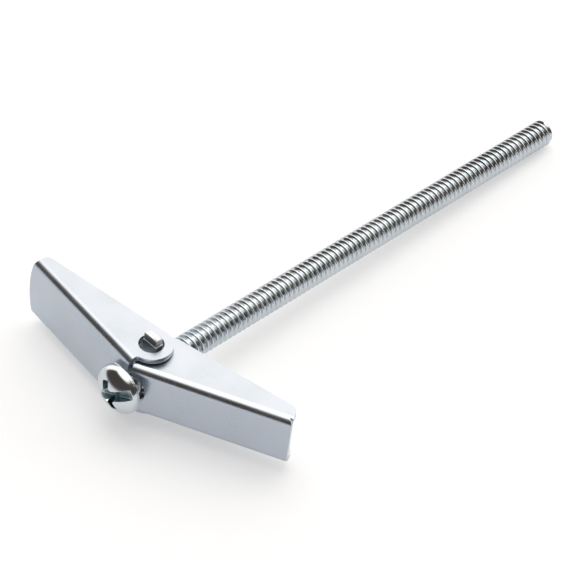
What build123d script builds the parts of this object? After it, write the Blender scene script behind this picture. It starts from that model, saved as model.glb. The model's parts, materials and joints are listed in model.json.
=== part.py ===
"""Spring toggle bolt: a long round-head machine screw with its sprung toggle wings.

Millimetres. The screw's axis is +Y, from the head to the tip, and +Z is up, along the
pins that the wings turn on. The origin is the centre of the flat face under the head.
The toggle stands at the head end of the screw, with its wings sprung open.
"""
from build123d import *
from math import acos, asin, atan2, cos, degrees, hypot, radians, sin, sqrt, tan
import os

os.makedirs("parts", exist_ok=True)

# ---- Screw ----
screw_diameter = 4.7
screw_length = 101.6
tip_chamfer = 0.7
head_diameter = 8.6
head_height = 3.1
head_rim = 0.4
head_shoulder = 1.6
recess_turn = -62.0
slot_width = 1.7
slot_depth = 1.9
cross_width = 1.25
cross_reach = 2.5
cross_depth = 2.0
cross_centre_radius = 1.4
cross_centre_depth = 2.5
cross_centre_slope = 20.0

# ---- Toggle: sheet, place and opening angles from the screw's axis ----
sheet = 0.9
sheet_gap = 0.3
bend_inside = 0.48
pivot_y = 5.8
pin_hole_diameter = 4.15
ear_radius = 3.57
ear_root_fillet = 0.45
outer_wing_angle = 83.0
inner_wing_angle = 65.0
web_end_gap = 0.2

# ---- Outer wing ----
outer_height = 12.1
outer_length = 25.0
outer_depth = 5.15
outer_tip_depth = 2.6
outer_tip_round = 1.2
outer_end_crown = 1.1
outer_end_round = 0.3
outer_slot_reach = 3.6

# ---- Inner wing, which nests between the outer wing's ears ----
inner_length = 25.5
inner_depth = 5.1
inner_tip_depth = 3.15
inner_tip_round = 1.7
inner_end_crown = 0.05
inner_end_round = 1.1
inner_back_slope = 14.7
inner_shoulder_u = 2.8
inner_shoulder_round = 2.0
inner_slot_reach = 1.4
screw_slot_width = 6.4

# ---- Nut ----
thread_clearance = 0.05
nut_shift = 0.3
nut_plate = 1.5
nut_wall = 0.45
nut_side_clearance = 0.4
nut_collar_length = 1.6
nut_corner_round = 0.4
tang_width = 3.0
tang_stand = 1.6
tang_tip_height = 1.3
tang_tip_inset = 0.1
tang_chamfer = 0.12

# ---- Spring ----
wire = 0.45
coil_pitch = 0.5
coil_clearance = 0.18
coil_seat_gap = 0.05
leg_length = 7.4
bridge_bend = 1.0
web_touch_gap = 0.1

# ---- Sizes that follow from those ----
screw_radius = screw_diameter / 2
head_radius = head_diameter / 2
dome_height = head_height - head_rim
dome_flat = head_radius - head_shoulder
crown_radius = (dome_flat**2 + dome_height**2 - head_shoulder**2) / (2 * (dome_height - head_shoulder))
crown_arc = degrees(atan2(dome_flat, crown_radius - dome_height))
inner_height = outer_height - 2 * (sheet + sheet_gap)
pin_hole_radius = pin_hole_diameter / 2
bore_radius = screw_radius + thread_clearance
nut_half_height = bore_radius + nut_wall
nut_swing = outer_depth - sheet - nut_side_clearance
nut_half_width = sqrt(nut_swing**2 - (nut_plate / 2) ** 2) - nut_shift
tang_top = outer_height / 2 + tang_stand
tang_corner = hypot(tang_width / 2, nut_plate / 2 + nut_shift)
coil_radius = tang_corner + coil_clearance + wire / 2


# ---- Screw: shank, domed head, slot with a cross recess ----
with BuildPart() as screw:
    with BuildSketch(Plane.XY):
        with BuildLine():
            crown = CenterArc((0, crown_radius - head_height), crown_radius, 270, crown_arc)
            shoulder = CenterArc(
                (head_radius - head_shoulder, -head_rim), head_shoulder, 270 + crown_arc, 90 - crown_arc
            )
            Polyline(
                shoulder @ 1,
                (head_radius, 0),
                (screw_radius, 0),
                (screw_radius, screw_length - tip_chamfer),
                (screw_radius - tip_chamfer, screw_length),
                (0, screw_length),
                crown @ 0,
            )
        make_face()
    revolve(axis=Axis.Y)
    head_front = Plane(
        origin=(0, -head_height, 0),
        x_dir=(cos(radians(recess_turn)), 0, sin(radians(recess_turn))),
        z_dir=(0, -1, 0),
    )
    with BuildSketch(head_front):
        Rectangle(slot_width, head_diameter + 1)
    extrude(amount=-slot_depth, mode=Mode.SUBTRACT)
    with BuildSketch(head_front):
        Rectangle(2 * cross_reach, cross_width)
    extrude(amount=-cross_depth, mode=Mode.SUBTRACT)
    with BuildSketch(head_front):
        Circle(cross_centre_radius)
    extrude(amount=-cross_centre_depth, taper=cross_centre_slope, mode=Mode.SUBTRACT)
screw.part.label = "screw"
export_step(screw.part, "parts/screw.step")


# ---- Wings ----
def wing_plane(side, angle):
    """The wing's own plane: x along the wing to its tip, y towards its open side."""
    turn = radians(angle)
    return Plane(
        origin=(0, pivot_y, 0), x_dir=(side * sin(turn), cos(turn), 0), z_dir=(0, 0, side)
    )


def web_start(depth):
    """Where a web begins along its wing, so that the two webs butt when they are open."""
    half_angle = radians(outer_wing_angle + inner_wing_angle) / 2
    return -(depth - sheet) / tan(half_angle) + web_end_gap / 2 / sin(half_angle)


def ear_tangent(point):
    """Where a line from the point touches the ear's circle, on the wing's open side."""
    turn = atan2(point[1], point[0]) + acos(ear_radius / hypot(*point))
    return (ear_radius * cos(turn), ear_radius * sin(turn))


def build_wing(plane, height, depth, length, back_edge, tip_round, crown, end_round, slot_reach):
    """A folded channel: a web with a screw slot, and two flanges that end in round ears."""
    start = web_start(depth)
    web_face = Plane(origin=plane.origin, x_dir=plane.x_dir, z_dir=-plane.y_dir).offset(depth)
    section = Plane(origin=plane.origin, x_dir=plane.y_dir, z_dir=plane.x_dir)
    with BuildPart() as wing:
        # The flanges' outline, with the web's strip along its lower side.
        with BuildSketch(plane):
            Circle(ear_radius)
            with BuildLine():
                Polyline(
                    (start, 0),
                    (start, -depth),
                    (length + crown, -depth),
                    (length + crown, -depth + sheet),
                    (length, -depth + sheet),
                    *back_edge,
                    ear_tangent(back_edge[-1]),
                    (0, 0),
                    close=True,
                )
            make_face()
            ear_root = (start, -sqrt(ear_radius**2 - start**2))
            fillet(vertices().sort_by_distance(ear_root)[0], ear_root_fillet)
            for corner, corner_round in zip(back_edge, tip_round):
                fillet(vertices().sort_by_distance(corner)[0], corner_round)
        extrude(amount=height / 2, both=True)
        along = edges().filter_by(Axis(plane.origin, plane.x_dir))
        fillet(along.group_by(Axis(plane.origin, plane.y_dir))[0], sheet + bend_inside)

        # The channel between the flanges.
        with BuildSketch(section):
            with Locations((sheet - depth, 0)):
                Rectangle(3 * depth, height - 2 * sheet, align=(Align.MIN, Align.CENTER))
            fillet(vertices().group_by(Axis.X)[0], bend_inside)
        extrude(amount=2 * length, both=True, mode=Mode.SUBTRACT)

        # The web's end: crowned, with rounded corners.
        with BuildSketch(web_face, mode=Mode.PRIVATE) as web:
            with BuildLine():
                tip = ThreePointArc(
                    (length, -height / 2), (length + crown, 0), (length, height / 2)
                )
                Polyline(tip @ 1, (0, height / 2), (0, -height / 2), tip @ 0)
            make_face()
            fillet(vertices().group_by(Axis.X)[-1], end_round)
        with BuildSketch(web_face):
            with Locations((length, 0)):
                Rectangle(height, 2 * height)
            add(web.sketch_local, mode=Mode.SUBTRACT)
        extrude(amount=-sheet, mode=Mode.SUBTRACT)

        # The slot that clears the screw, and the holes in the ears.
        with BuildSketch(web_face):
            with Locations((slot_reach - screw_slot_width / 2, 0)):
                Circle(screw_slot_width / 2)
                Rectangle(depth, screw_slot_width, align=(Align.MAX, Align.CENTER))
        extrude(amount=-sheet, mode=Mode.SUBTRACT)
        with BuildSketch(plane):
            Circle(pin_hole_radius)
        extrude(amount=height, both=True, mode=Mode.SUBTRACT)
    return wing.part


outer_wing = build_wing(
    plane=wing_plane(-1, outer_wing_angle),
    height=outer_height,
    depth=outer_depth,
    length=outer_length,
    back_edge=[(outer_length, outer_tip_depth - outer_depth)],
    tip_round=[outer_tip_round],
    crown=outer_end_crown,
    end_round=outer_end_round,
    slot_reach=outer_slot_reach,
)
outer_wing.label = "outer_wing"
export_step(outer_wing, "parts/outer_wing.step")

inner_tip_v = inner_tip_depth - inner_depth
inner_shoulder_v = inner_tip_v + (inner_length - inner_shoulder_u) * tan(radians(inner_back_slope))
inner_wing = build_wing(
    plane=wing_plane(1, inner_wing_angle),
    height=inner_height,
    depth=inner_depth,
    length=inner_length,
    back_edge=[(inner_length, inner_tip_v), (inner_shoulder_u, inner_shoulder_v)],
    tip_round=[inner_tip_round, inner_shoulder_round],
    crown=inner_end_crown,
    end_round=inner_end_round,
    slot_reach=inner_slot_reach,
)
inner_wing.label = "inner_wing"
export_step(inner_wing, "parts/inner_wing.step")


# ---- Nut: a stamped plate with a tapped collar and two tangs that the wings turn on ----
nut_face = Plane(origin=(0, pivot_y + nut_shift, 0), x_dir=(1, 0, 0), z_dir=(0, -1, 0))
with BuildPart() as nut:
    with BuildSketch(nut_face):
        Rectangle(tang_width - 2 * tang_tip_inset, 2 * tang_top)
    extrude(amount=nut_plate / 2 - tang_tip_inset, both=True)
    tang_ends = faces().filter_by(Axis.Z)
    chamfer([tang_ends.sort_by(Axis.Z)[0].edges(), tang_ends.sort_by(Axis.Z)[-1].edges()], tang_chamfer)
    with BuildSketch(nut_face):
        Rectangle(2 * nut_half_width, 2 * nut_half_height)
        fillet(vertices(), nut_corner_round)
        Rectangle(tang_width, 2 * (tang_top - tang_tip_height))
    extrude(amount=nut_plate / 2, both=True)
    with BuildSketch(nut_face.offset(nut_plate / 2)):
        Circle(nut_half_height)
    extrude(amount=nut_collar_length)
    with BuildSketch(nut_face):
        Circle(bore_radius)
    extrude(amount=2 * (nut_plate + nut_collar_length), both=True, mode=Mode.SUBTRACT)
nut.part.label = "trunnion_nut"
export_step(nut.part, "parts/trunnion_nut.step")


# ---- Spring: one wire, a coil round each tang, a bridge on the outer wing's web ----
def leg_angle(wing_angle, depth):
    """The leg's angle from the screw's axis: off its coil, with its end near the web."""
    seat = depth - sheet - wire / 2 - web_touch_gap
    slope = asin(seat / hypot(coil_radius, leg_length)) - atan2(coil_radius, leg_length)
    return wing_angle + degrees(slope)


bridge_angle = leg_angle(outer_wing_angle, outer_depth)
free_angle = leg_angle(inner_wing_angle, inner_depth)
coil_turn = 540 - bridge_angle - free_angle
coil_low = nut_half_height + coil_seat_gap + wire / 2
bridge_way = Vector(-sin(radians(bridge_angle)), cos(radians(bridge_angle)), 0)
free_way = Vector(sin(radians(free_angle)), cos(radians(free_angle)), 0)
coil_seat = Location((0, pivot_y, coil_low), (0, 0, 180 + bridge_angle))
coil = coil_seat * Helix(coil_pitch, coil_pitch * coil_turn / 360, coil_radius)

with BuildPart() as spring:
    with BuildLine() as wire_path:
        bridge_end = coil @ 0 + bridge_way * leg_length
        bridge_middle = Vector(bridge_end.X, bridge_end.Y, 0)
        FilletPolyline(bridge_middle, bridge_end, coil @ 0, radius=bridge_bend)
        add(coil)
        Line(coil @ 1, coil @ 1 + free_way * leg_length)
    with BuildSketch(Plane(origin=bridge_middle, z_dir=(0, 0, 1))):
        Circle(wire / 2)
    sweep(path=wire_path.wire())
    mirror(about=Plane.XY)
spring.part.label = "torsion_spring"
export_step(spring.part, "parts/torsion_spring.step")
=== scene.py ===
import json
import math

import bmesh
import bpy
from mathutils import Matrix, Vector, noise


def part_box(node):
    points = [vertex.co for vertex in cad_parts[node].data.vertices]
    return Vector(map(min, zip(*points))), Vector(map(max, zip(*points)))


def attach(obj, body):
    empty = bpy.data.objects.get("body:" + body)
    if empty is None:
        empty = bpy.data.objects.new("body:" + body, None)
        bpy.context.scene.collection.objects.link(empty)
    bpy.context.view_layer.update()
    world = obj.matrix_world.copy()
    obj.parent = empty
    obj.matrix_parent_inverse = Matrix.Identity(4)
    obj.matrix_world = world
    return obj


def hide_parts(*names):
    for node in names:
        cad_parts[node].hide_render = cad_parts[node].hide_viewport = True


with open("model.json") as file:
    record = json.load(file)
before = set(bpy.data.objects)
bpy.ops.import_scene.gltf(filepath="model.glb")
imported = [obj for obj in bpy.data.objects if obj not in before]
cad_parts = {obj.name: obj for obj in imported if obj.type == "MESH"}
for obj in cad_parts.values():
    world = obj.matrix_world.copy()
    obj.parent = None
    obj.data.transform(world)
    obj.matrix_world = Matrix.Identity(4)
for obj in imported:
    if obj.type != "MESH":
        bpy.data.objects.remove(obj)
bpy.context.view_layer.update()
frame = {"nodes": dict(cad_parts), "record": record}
MM = 0.001

# ---- Where the CAD stands: read from the nodes, so that the looks follow the frame ----
screw_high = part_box("screw")[1]
nut_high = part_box("trunnion_nut")[1]
screw_tip = screw_high.y
tang_top = nut_high.z
pivot = Vector((0, next(j for j in frame["record"]["behaviour"]["joints"]
                        if j["name"] == "outer_wing_fold")["pos_m"][1], 0))

# ---- Screw thread: 3/16 in, 24 threads per inch ----
thread_radius = 2.35 * MM
root_radius = 1.74 * MM
thread_pitch = 25.4 / 24 * MM
tip_chamfer = 0.7 * MM
crest_share = 0.14
root_share = 0.16
crest_round, crest_drop = 0.12, 0.08
root_round = 0.1
columns = 72
lead_in_pitches, spare_turns = 1.6, 3
thread_skin = 0.0002 * MM
core_share = 0.5
thread_in_head = 0.3 * MM
wobble, wobble_turn, wobble_along = 0.02 * MM, 2, 0.7
wobble_above_root = 0.2 * MM

# ---- Screw head: a flat crown arc that runs into a rounder shoulder ----
head_radius = 4.3 * MM
head_height = 3.1 * MM
head_rim = 0.4 * MM
head_shoulder = 1.6 * MM
head_voxel = 0.052
head_soften, soften_factor = 14, 0.5
dome_snap = (0.04 * MM, 0.08 * MM)
# The three values below set the painted shade in the screw's recess: the depth at which it is full, and
# the margins that keep it off the rim and the seat.
recess_shade_depth = 0.9 * MM
recess_inside = 0.15 * MM
recess_end = -0.8 * MM

# ---- Wings and nut: pressed sheet and a stamping, with edges broken by the press ----
weld_distance = 1e-7
flat_angle = math.radians(1.5)
wing_edge, wing_edge_segments, wing_edge_angle = 0.11 * MM, 3, math.radians(50)
nut_edge, nut_edge_segments, nut_edge_angle = 0.06 * MM, 2, math.radians(35)

# ---- Torsion spring: a coil on each side, a bridge behind the outer wing's web, two free legs ----
wire_radius = 0.225 * MM
wire_sides = 14
wire_end = (0.3, 0.2)
hidden_wire = 0.97
sheet = 0.9 * MM
outer_wing_angle, outer_depth = 83, 5.15 * MM
inner_wing_angle, inner_depth = 65, 5.1 * MM
tang_half_width, tang_half_plate, nut_shift = 1.5 * MM, 0.75 * MM, 0.3 * MM
coil_clearance = 0.18 * MM
coil_pitch = 0.5 * MM
coil_low = 3.125 * MM
coil_step = math.radians(6)
leg_length = 7.4 * MM
bridge_bend, bridge_steps = 1.0 * MM, 8
web_touch_gap = 0.1 * MM
bridge_tail, free_tail = 85, 67

# ---- Finishes: darker and lighter tone, lowest and highest roughness, bump, grain ----
finishes = {
    "zinc_sheet": ((0.44, 0.485, 0.54), (0.475, 0.515, 0.58), 0.26, 0.32, 0.25, 1400),
    "zinc_thread": ((0.52, 0.56, 0.59), (0.60, 0.64, 0.67), 0.16, 0.26, 0.3, 2600),
    "zinc_head": ((0.56, 0.60, 0.63), (0.62, 0.66, 0.69), 0.14, 0.22, 0.3, 1800),
    "zinc_nut": ((0.52, 0.55, 0.58), (0.60, 0.63, 0.66), 0.32, 0.42, 0.5, 3000),
    "spring_wire": ((0.42, 0.42, 0.42), (0.52, 0.52, 0.52), 0.22, 0.34, 0.3, 4200),
}
cloud_scale, cloud_band = 170, (0.32, 0.68)
scratch_scale, scratch_stretch = 2400, (0.12, 1, 1)
scratch_band, scratch_rough = (0.62, 0.78), 0.06
grain_depth = 0.02 * MM
# Painted shade: the dark teal laid into the screw's recess with depth, and the roughness there.
recess_shade_colour, recess_rough = (0.20, 0.29, 0.32), 0.32
speck_colour, speck_rough = (0.24, 0.17, 0.12), 0.6
speck_scale, speck_band, speck_depth = 1900, (0.56, 0.66), 0.03 * MM

# ---- Studio: pale walls, a dark opening on the head's side, a white floor ----
bright_wall = (1.0, 0.945, 0.875)
dark_wall = (0.045, 0.038, 0.035)
world_strength = 1.75
dark_azimuth = 32
dark_side = (-0.38, -0.08)
dark_top = (0.74, 0.92)
floor_reach, floor_sides = 2.4, 64
floor_low, floor_high = (0.87, 0.90, 0.94), (0.89, 0.92, 0.96)
floor_rough, floor_specular, floor_glow, floor_white = 0.9, 0.1, 1.0, 0.45
key_at, key_size, key_power = Vector((-0.15, 0.08, 0.75)), (0.5, 0.5), 1.3
key_aim = Vector((0, 0.04, 0))

# ---- Camera: a long lens, above the toggle and to the screw's right ----
camera_azimuth = 39.7
camera_elevation = 43.1
camera_roll = 8.2
camera_distance = 0.4272
camera_lens, camera_sensor = 161.44, 36
camera_aim = Vector((0.0008, 0.0365, 0))
camera_clip = (0.01, 20)


# ---- Mesh helpers ----
def new_object(name, mesh):
    """A new object in the scene with this mesh."""
    obj = bpy.data.objects.new(name, mesh)
    bpy.context.scene.collection.objects.link(obj)
    return obj


def smooth(mesh):
    """Every face shades smooth."""
    mesh.polygons.foreach_set("use_smooth", [True] * len(mesh.polygons))


def apply_modifiers(obj):
    """The object's mesh becomes the one its modifiers make."""
    bpy.context.view_layer.update()
    evaluated = obj.evaluated_get(bpy.context.evaluated_depsgraph_get())
    mesh = bpy.data.meshes.new_from_object(evaluated)
    obj.modifiers.clear()
    obj.data = mesh


def cad_copy(name, node):
    """A new object with a copy of a CAD node's mesh."""
    return new_object(name, frame["nodes"][node].data.copy())


def keep_side(obj, at, normal):
    """Cuts the mesh on a plane, keeps the side the normal points away from, and closes the cut."""
    bm = bmesh.new()
    bm.from_mesh(obj.data)
    bmesh.ops.remove_doubles(bm, verts=bm.verts, dist=weld_distance)
    cut = bmesh.ops.bisect_plane(bm, geom=bm.verts[:] + bm.edges[:] + bm.faces[:], dist=1e-8,
                                 plane_co=at, plane_no=normal, clear_outer=True)
    rim = [e for e in cut["geom_cut"] if isinstance(e, bmesh.types.BMEdge)]
    bmesh.ops.holes_fill(bm, edges=rim)
    bm.to_mesh(obj.data)
    bm.free()


# ---- Screw ----
def thread_profile():
    """(share of a pitch, radius) round one turn of thread, crest first."""
    flank = (1 - crest_share - root_share) / 2
    depth = thread_radius - root_radius
    crest_side, root_side = thread_radius - crest_drop * depth, root_radius + root_round * depth
    root_start = crest_share + flank
    return [(0.0, thread_radius), (crest_share, thread_radius),
            (crest_share + crest_round * flank, crest_side),
            (crest_share + (1 - root_round) * flank, root_side),
            (root_start, root_radius), (root_start + root_share, root_radius),
            (root_start + root_share + root_round * flank, root_side),
            (1 - crest_round * flank, crest_side)]


def build_thread():
    """The helical thread, from inside the head to the chamfered tip."""
    profile = thread_profile()
    turns = math.ceil(screw_tip / thread_pitch) + spare_turns
    rows = turns * len(profile)
    start = -lead_in_pitches * thread_pitch
    verts, faces = [], []
    for row in range(rows):
        share, radius = profile[row % len(profile)]
        along = start + (row // len(profile) + share) * thread_pitch
        for column in range(columns):
            turn = column / columns
            angle = 2 * math.pi * turn
            y = along + turn * thread_pitch
            uneven = noise.noise(Vector((math.sin(angle) * wobble_turn, math.cos(angle) * wobble_turn,
                                         y / MM * wobble_along)))
            out = radius - wobble * (0.5 + 0.5 * uneven) * (radius > root_radius + wobble_above_root)
            out = min(out, thread_radius - tip_chamfer + max(0.0, screw_tip - y) + thread_skin)
            out = max(out, core_share * root_radius)
            verts.append((out * math.sin(angle), y, out * math.cos(angle)))
    for row in range(rows - 1):
        for column in range(columns):
            if column < columns - 1:
                a, b = row * columns + column, row * columns + column + 1
                c, d = b + columns, a + columns
            elif row + 1 + len(profile) < rows:
                a, d = row * columns + column, (row + 1) * columns + column
                b, c = (row + len(profile)) * columns, (row + len(profile) + 1) * columns
            else:
                continue
            faces.append((a, d, c, b))
    mesh = bpy.data.meshes.new("screw_thread")
    mesh.from_pydata(verts, [], faces)
    mesh.validate()
    screw_thread = new_object("screw_thread", mesh)
    keep_side(screw_thread, Vector((0, screw_tip, 0)), Vector((0, 1, 0)))
    keep_side(screw_thread, Vector((0, -thread_in_head, 0)), Vector((0, -1, 0)))
    smooth(screw_thread.data)
    return screw_thread


def dome_surface(point):
    """The nearest point of the head's crown or shoulder, or None beside the rim or at the seat."""
    out = math.hypot(point.x, point.z)
    height = head_height - head_rim
    flat = head_radius - head_shoulder
    crown = (flat ** 2 + height ** 2 - head_shoulder ** 2) / (2 * (height - head_shoulder))
    turn = math.atan2(out, crown - head_height - point.y) if out else 0.0
    if turn <= math.atan2(flat, crown - height):
        centre, reach = Vector((0, crown - head_height)), crown
    elif point.y < -head_rim:
        centre, reach = Vector((flat, -head_rim)), head_shoulder
    else:
        return None
    way = (Vector((out, point.y)) - centre).normalized() * reach + centre
    if out < 1e-9:
        return Vector((0, way.y, 0))
    return Vector((point.x * way.x / out, way.y, point.z * way.x / out))


def build_head():
    """The CAD head remeshed with rounded recess edges, its dome kept on the exact surface.

    The painted-shade attribute is 0 on the dome and grows to 1 with depth in the recess, where the recess
    is painted darker.
    """
    head = cad_copy("screw_head", "screw")
    keep_side(head, Vector((0, 0, 0)), Vector((0, 1, 0)))
    head.data.transform(Matrix.Scale(1 / MM, 4))
    remesh = head.modifiers.new("remesh", "REMESH")
    remesh.mode = "VOXEL"
    remesh.voxel_size = head_voxel
    soften = head.modifiers.new("soften", "SMOOTH")
    soften.factor = soften_factor
    soften.iterations = head_soften
    apply_modifiers(head)
    head.data.transform(Matrix.Scale(MM, 4))
    near, far = dome_snap
    for vertex in head.data.vertices:
        target = dome_surface(vertex.co)
        if target is not None:
            gap = (target - vertex.co).length
            share = min(1.0, max(0.0, (far - gap) / (far - near)))
            vertex.co = vertex.co.lerp(target, share)
    # Painted shade: a mask that paints the recess darker the deeper it lies.
    painted_recess_shade = head.data.attributes.new("painted_recess_shade", "FLOAT", "POINT")
    for vertex, value in zip(head.data.vertices, painted_recess_shade.data):
        target = dome_surface(vertex.co)
        inside = math.hypot(vertex.co.x, vertex.co.z) < head_radius - recess_inside
        if target is not None and inside and vertex.co.y < recess_end:
            value.value = min(1.0, (target - vertex.co).length / recess_shade_depth)
    smooth(head.data)
    return head


# ---- Spring ----
def tube(name, points, radius):
    """A round wire along the points, with slightly rounded ends."""
    bm = bmesh.new()
    rings, across = [], None
    for i, point in enumerate(points):
        ahead = (points[min(i + 1, len(points) - 1)] - points[max(i - 1, 0)]).normalized()
        if across is None:
            across = ahead.orthogonal().normalized()
        across = (across - ahead * across.dot(ahead)).normalized()
        side = ahead.cross(across)
        rings.append([bm.verts.new(point + radius * (math.cos(2 * math.pi * k / wire_sides) * across
                                                     + math.sin(2 * math.pi * k / wire_sides) * side))
                      for k in range(wire_sides)])
    for low, high in zip(rings, rings[1:]):
        for k in range(wire_sides):
            n = (k + 1) % wire_sides
            bm.faces.new((low[k], low[n], high[n], high[k]))
    for ring in (rings[0][::-1], rings[-1]):
        bmesh.ops.inset_region(bm, faces=[bm.faces.new(ring)],
                               thickness=wire_end[0] * radius, depth=wire_end[1] * radius)
    mesh = bpy.data.meshes.new(name)
    bm.to_mesh(mesh)
    bm.free()
    smooth(mesh)
    return new_object(name, mesh)


def leg_angle(wing_angle, depth, coil_radius):
    """A leg's angle from the screw's axis, with its end near the web."""
    seat = depth - sheet - wire_radius - web_touch_gap
    slope = math.asin(seat / math.hypot(coil_radius, leg_length)) - math.atan2(coil_radius, leg_length)
    return math.radians(wing_angle) + slope


def rounded(corner, before, after, radius):
    """Points of the arc that rounds a corner between two points."""
    back, ahead = (before - corner).normalized(), (after - corner).normalized()
    half = math.acos(max(-1, min(1, back.dot(ahead)))) / 2
    centre = corner + (back + ahead).normalized() * radius / math.sin(half)
    start, end = corner + back * radius / math.tan(half), corner + ahead * radius / math.tan(half)
    arc = []
    for i in range(bridge_steps + 1):
        way = (start - centre).lerp(end - centre, i / bridge_steps).normalized()
        arc.append(centre + way * radius)
    return arc


def build_spring():
    """The coils, the bridge and the free legs, each with the body it goes with."""
    coil_radius = math.hypot(tang_half_width, tang_half_plate + nut_shift) + coil_clearance + wire_radius
    bridge_turn = leg_angle(outer_wing_angle, outer_depth, coil_radius)
    free_turn = leg_angle(inner_wing_angle, inner_depth, coil_radius)
    whole = 3 * math.pi - bridge_turn - free_turn
    bridge_way = Vector((-math.sin(bridge_turn), math.cos(bridge_turn), 0))
    free_way = Vector((math.sin(free_turn), math.cos(free_turn), 0))

    def coil_point(turn):
        angle = math.pi + bridge_turn + turn
        return pivot + Vector((coil_radius * math.cos(angle), coil_radius * math.sin(angle),
                               coil_low + coil_pitch * turn / (2 * math.pi)))

    def arc(start, end):
        steps = max(2, int(abs(end - start) / coil_step))
        return [coil_point(start + (end - start) * i / steps) for i in range(steps + 1)]

    def below(points):
        return [Vector((p.x, p.y, -p.z)) for p in points]

    coil = arc(0, whole)
    corner = coil_point(0) + bridge_way * leg_length
    middle = Vector((corner.x, corner.y, 0))
    half_bridge = ([middle] + rounded(corner, middle, coil_point(0), bridge_bend)
                   + arc(0, math.radians(bridge_tail)))
    free = arc(whole - math.radians(free_tail), whole) + [coil_point(whole) + free_way * leg_length]
    return [(tube("spring_coil_upper", coil, wire_radius), "nut"),
            (tube("spring_coil_lower", below(coil), wire_radius), "nut"),
            (tube("spring_bridge", below(half_bridge)[:0:-1] + half_bridge, wire_radius * hidden_wire),
             "outer_wing"),
            (tube("spring_leg_upper", free, wire_radius * hidden_wire), "inner_wing"),
            (tube("spring_leg_lower", below(free), wire_radius * hidden_wire), "inner_wing")]


# ---- Wings and nut ----
def pressed(name, node, edge, segments, angle):
    """A copy of a CAD node with clean flat faces and broken edges."""
    obj = cad_copy(name, node)
    bm = bmesh.new()
    bm.from_mesh(obj.data)
    bmesh.ops.remove_doubles(bm, verts=bm.verts, dist=weld_distance)
    bmesh.ops.dissolve_limit(bm, angle_limit=flat_angle, verts=bm.verts, edges=bm.edges)
    bm.to_mesh(obj.data)
    bm.free()
    bevel = obj.modifiers.new("bevel", "BEVEL")
    bevel.width = edge
    bevel.segments = segments
    bevel.limit_method = "ANGLE"
    bevel.angle_limit = angle
    apply_modifiers(obj)
    smooth(obj.data)
    obj.modifiers.new("normals", "WEIGHTED_NORMAL")
    return obj


# ---- Material helpers ----
def material(name):
    """A new material with one Principled shader on its output."""
    mat = bpy.data.materials.new(name)
    mat.use_nodes = True
    tree = mat.node_tree
    tree.nodes.clear()
    out = tree.nodes.new("ShaderNodeOutputMaterial")
    shader = tree.nodes.new("ShaderNodeBsdfPrincipled")
    tree.links.new(shader.outputs["BSDF"], out.inputs["Surface"])
    return mat, tree, shader


def noise_node(tree, scale, detail, rough, where):
    """A noise texture over the given coordinates."""
    node = tree.nodes.new("ShaderNodeTexNoise")
    node.inputs["Scale"].default_value = scale
    node.inputs["Detail"].default_value = detail
    node.inputs["Roughness"].default_value = rough
    tree.links.new(where, node.inputs["Vector"])
    return node


def ramp_node(tree, source, stops):
    """A colour ramp with one colour at each stop."""
    node = tree.nodes.new("ShaderNodeValToRGB")
    ramp = node.color_ramp
    while len(ramp.elements) < len(stops):
        ramp.elements.new(0.5)
    for element, (at, colour) in zip(ramp.elements, stops):
        element.position = at
        element.color = (*colour, 1)
    tree.links.new(source, node.inputs["Fac"])
    return node


def map_range(tree, source, low, high, to_low, to_high):
    """Maps a source from one range to another."""
    node = tree.nodes.new("ShaderNodeMapRange")
    tree.links.new(source, node.inputs["Value"])
    for key, value in (("From Min", low), ("From Max", high), ("To Min", to_low), ("To Max", to_high)):
        node.inputs[key].default_value = value
    return node


def smooth_step(tree, source, low, high, to_low, to_high):
    """Maps a source from one range to another with soft ends."""
    node = map_range(tree, source, low, high, to_low, to_high)
    node.interpolation_type = "SMOOTHSTEP"
    return node.outputs["Result"]


def math_node(tree, operation, first, second):
    """A math node between two sources, each a socket or a number."""
    node = tree.nodes.new("ShaderNodeMath")
    node.operation = operation
    for socket, value in zip(node.inputs, (first, second)):
        if isinstance(value, bpy.types.NodeSocket):
            tree.links.new(value, socket)
        else:
            socket.default_value = value
    return node.outputs["Value"]


# ---- Materials ----
def plated(name):
    """Zinc plate or bare wire: a metal with soft clouds in colour, fine grain and faint scratches."""
    dark, light, rough_low, rough_high, bump, grain = finishes[name]
    mat, tree, shader = material(name)
    place = tree.nodes.new("ShaderNodeTexCoord").outputs["Object"]
    cloud = noise_node(tree, cloud_scale, 3, 0.5, place)
    fine = noise_node(tree, grain, 3, 0.5, place)
    stretch = tree.nodes.new("ShaderNodeMapping")
    stretch.inputs["Scale"].default_value = scratch_stretch
    tree.links.new(place, stretch.inputs["Vector"])
    scratch = noise_node(tree, scratch_scale, 2, 0.5, stretch.outputs["Vector"])
    colour = ramp_node(tree, cloud.outputs["Fac"], [(cloud_band[0], dark), (cloud_band[1], light)])
    rough = map_range(tree, cloud.outputs["Fac"], 0.3, 0.7, rough_low, rough_high)
    worn = map_range(tree, scratch.outputs["Fac"], *scratch_band, 0.0, scratch_rough)
    height = tree.nodes.new("ShaderNodeBump")
    height.inputs["Strength"].default_value = bump
    height.inputs["Distance"].default_value = grain_depth
    tree.links.new(fine.outputs["Fac"], height.inputs["Height"])
    tree.links.new(colour.outputs["Color"], shader.inputs["Base Color"])
    tree.links.new(math_node(tree, "ADD", rough.outputs["Result"], worn.outputs["Result"]),
                   shader.inputs["Roughness"])
    tree.links.new(height.outputs["Normal"], shader.inputs["Normal"])
    shader.inputs["Metallic"].default_value = 1.0
    return mat, tree, shader


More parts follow.
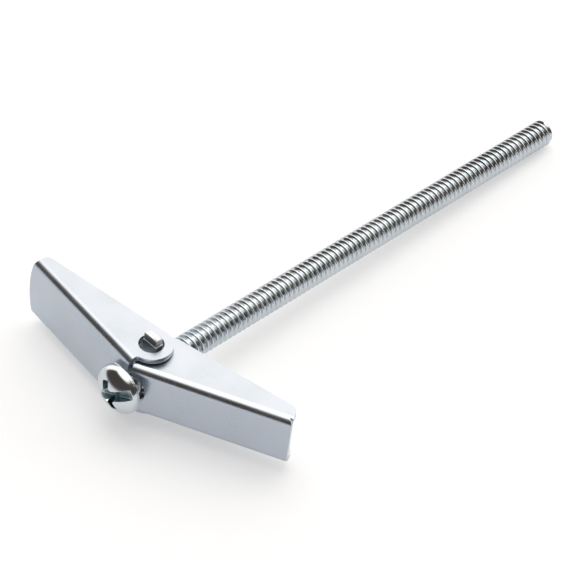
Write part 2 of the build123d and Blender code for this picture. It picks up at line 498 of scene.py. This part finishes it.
def tinted(made, share, colour, rough):
    """Lays a second colour and roughness over a material, by a share between 0 and 1."""
    mat, tree, shader = made
    for key, kind, value in (("Base Color", "RGBA", (*colour, 1)), ("Roughness", "FLOAT", rough)):
        under = shader.inputs[key].links[0].from_socket
        mix = tree.nodes.new("ShaderNodeMix")
        mix.data_type = kind
        by_name = {socket.name: socket for socket in mix.inputs if socket.enabled}
        tree.links.new(share, by_name["Factor"])
        tree.links.new(under, by_name["A"])
        by_name["B"].default_value = value
        tree.links.new(next(s for s in mix.outputs if s.enabled), shader.inputs[key])
    return mat


def recess_shade_share(made):
    """How deep in the screw's recess a point is, as the share of painted shade there."""
    reader = made[1].nodes.new("ShaderNodeAttribute")
    reader.attribute_name = "painted_recess_shade"
    return reader.outputs["Fac"]


def speck_share(made):
    """Small specks on the nut's tang ends, where the plating is thin."""
    tree = made[1]
    place = tree.nodes.new("ShaderNodeTexCoord").outputs["Object"]
    split = tree.nodes.new("ShaderNodeSeparateXYZ")
    tree.links.new(place, split.inputs["Vector"])
    height = math_node(tree, "ABSOLUTE", split.outputs["Z"], 0)
    end = math_node(tree, "GREATER_THAN", height, tang_top - speck_depth)
    spots = noise_node(tree, speck_scale, 3, 0.6, place)
    shape = map_range(tree, spots.outputs["Fac"], *speck_band, 0, 1)
    return math_node(tree, "MULTIPLY", end, shape.outputs["Result"])


def give(obj, mat):
    """The object wears this material and no other."""
    obj.data.materials.clear()
    obj.data.materials.append(mat)


# ---- Stage ----
def floor_frame():
    """The plane the part lies on: it touches the lower tang and the screw's end."""
    low = Vector((0, pivot.y, -tang_top))
    tip = Vector((0, screw_tip, -(thread_radius - tip_chamfer)))
    chamfer = Vector((0, screw_tip - tip_chamfer, -thread_radius))
    slope = min(math.atan2(p.z - low.z, p.y - low.y) for p in (tip, chamfer))
    return low, slope


def floor_paper():
    """Matt pale paper that keeps the object's shadow and looks white to the camera and in reflections."""
    mat, tree, shader = material("floor_paper")
    place = tree.nodes.new("ShaderNodeTexCoord").outputs["Object"]
    tone = noise_node(tree, 6, 3, 0.5, place)
    colour = ramp_node(tree, tone.outputs["Fac"], [(0.3, floor_low), (0.7, floor_high)])
    tree.links.new(colour.outputs["Color"], shader.inputs["Base Color"])
    shader.inputs["Roughness"].default_value = floor_rough
    shader.inputs["Specular IOR Level"].default_value = floor_specular
    rays = tree.nodes.new("ShaderNodeLightPath")
    seen = math_node(tree, "MAXIMUM", rays.outputs["Is Camera Ray"],
                     math_node(tree, "MAXIMUM", rays.outputs["Is Glossy Ray"],
                               rays.outputs["Is Transmission Ray"]))
    glow = tree.nodes.new("ShaderNodeEmission")
    glow.inputs["Strength"].default_value = floor_glow
    mixed = tree.nodes.new("ShaderNodeMixShader")
    tree.links.new(math_node(tree, "MULTIPLY", seen, floor_white), mixed.inputs["Fac"])
    tree.links.new(shader.outputs["BSDF"], mixed.inputs[1])
    tree.links.new(glow.outputs["Emission"], mixed.inputs[2])
    tree.links.new(mixed.outputs["Shader"],
                   next(n for n in tree.nodes if n.type == "OUTPUT_MATERIAL").inputs["Surface"])
    return mat


def build_floor():
    """A wide round floor under the part, at the slope it lies at."""
    low, slope = floor_frame()
    bm = bmesh.new()
    centre = bm.verts.new((0, 0, 0))
    edge = [bm.verts.new((floor_reach * math.cos(2 * math.pi * i / floor_sides),
                          floor_reach * math.sin(2 * math.pi * i / floor_sides), 0))
            for i in range(floor_sides)]
    for i in range(floor_sides):
        bm.faces.new((centre, edge[i], edge[(i + 1) % floor_sides]))
    mesh = bpy.data.meshes.new("floor")
    bm.to_mesh(mesh)
    bm.free()
    obj = new_object("floor", mesh)
    obj.matrix_world = Matrix.Translation(low) @ Matrix.Rotation(slope, 4, "X")
    give(obj, floor_paper())


def build_world():
    """A pale studio with a dark opening on the head's side, as the plating shows it."""
    world = bpy.data.worlds.new("studio")
    bpy.context.scene.world = world
    world.use_nodes = True
    tree = world.node_tree
    tree.nodes.clear()
    out = tree.nodes.new("ShaderNodeOutputWorld")
    background = tree.nodes.new("ShaderNodeBackground")
    way = tree.nodes.new("ShaderNodeTexCoord").outputs["Generated"]
    split = tree.nodes.new("ShaderNodeSeparateXYZ")
    tree.links.new(way, split.inputs["Vector"])
    turn = math.radians(dark_azimuth)
    rise = math_node(tree, "MULTIPLY", split.outputs["Z"], split.outputs["Z"])
    level = math_node(tree, "SUBTRACT", 1.0001, rise)
    across = math_node(tree, "SUBTRACT", math_node(tree, "MULTIPLY", split.outputs["X"], math.sin(turn)),
                       math_node(tree, "MULTIPLY", split.outputs["Y"], math.cos(turn)))
    front = math_node(tree, "DIVIDE", across, math_node(tree, "POWER", level, 0.5))
    side = smooth_step(tree, front, *dark_side, 0, 1)
    low = smooth_step(tree, split.outputs["Z"], *dark_top, 1, 0)
    shade = math_node(tree, "MULTIPLY", side, low)
    colour = ramp_node(tree, shade, [(0.0, bright_wall), (1.0, dark_wall)])
    tree.links.new(colour.outputs["Color"], background.inputs["Color"])
    background.inputs["Strength"].default_value = world_strength
    tree.links.new(background.outputs["Background"], out.inputs["Surface"])


def build_key():
    """One soft square light, high behind the toggle."""
    data = bpy.data.lights.new("key", "AREA")
    data.shape = "RECTANGLE"
    data.size, data.size_y = key_size
    data.energy = key_power
    light = bpy.data.objects.new("key", data)
    bpy.context.scene.collection.objects.link(light)
    light.location = key_at
    light.rotation_euler = (key_aim - key_at).to_track_quat("-Z", "Y").to_euler()


def build_camera():
    """The camera, on a sphere round its aim."""
    data = bpy.data.cameras.new("camera")
    data.lens, data.sensor_width = camera_lens, camera_sensor
    data.clip_start, data.clip_end = camera_clip
    camera = bpy.data.objects.new("camera", data)
    bpy.context.scene.collection.objects.link(camera)
    azimuth, elevation = math.radians(camera_azimuth), math.radians(camera_elevation)
    back = Vector((math.sin(azimuth) * math.cos(elevation), -math.cos(azimuth) * math.cos(elevation),
                   math.sin(elevation)))
    level = back.to_track_quat("Z", "Y").to_matrix().to_4x4()
    turn = level @ Matrix.Rotation(math.radians(camera_roll), 4, "Z")
    camera.matrix_world = Matrix.Translation(camera_aim + camera_distance * back) @ turn
    bpy.context.scene.camera = camera


# ---- Build ----
zinc = plated("zinc_sheet")[0]
bright = plated("zinc_thread")[0]
domed = plated("zinc_head")
# The head's recess gets painted shade, darker with depth.
domed = tinted(domed, recess_shade_share(domed), recess_shade_colour, recess_rough)
sheared = plated("zinc_nut")
sheared = tinted(sheared, speck_share(sheared), speck_colour, speck_rough)
steel = plated("spring_wire")[0]

for piece, look in ((build_thread(), bright), (build_head(), domed)):
    give(piece, look)
    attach(piece, "screw")
    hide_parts("screw")

for node in ("outer_wing", "inner_wing"):
    wing = pressed(node + "_sheet", node, wing_edge, wing_edge_segments, wing_edge_angle)
    give(wing, zinc)
    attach(wing, node)
    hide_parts(node)

nut = pressed("nut_stamping", "trunnion_nut", nut_edge, nut_edge_segments, nut_edge_angle)
give(nut, sheared)
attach(nut, "nut")
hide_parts("trunnion_nut")

for piece, body in build_spring():
    give(piece, steel)
    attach(piece, body)
    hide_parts("torsion_spring")

build_floor()
bpy.context.scene.view_settings.view_transform = "Standard"
build_world()
build_key()
build_camera()
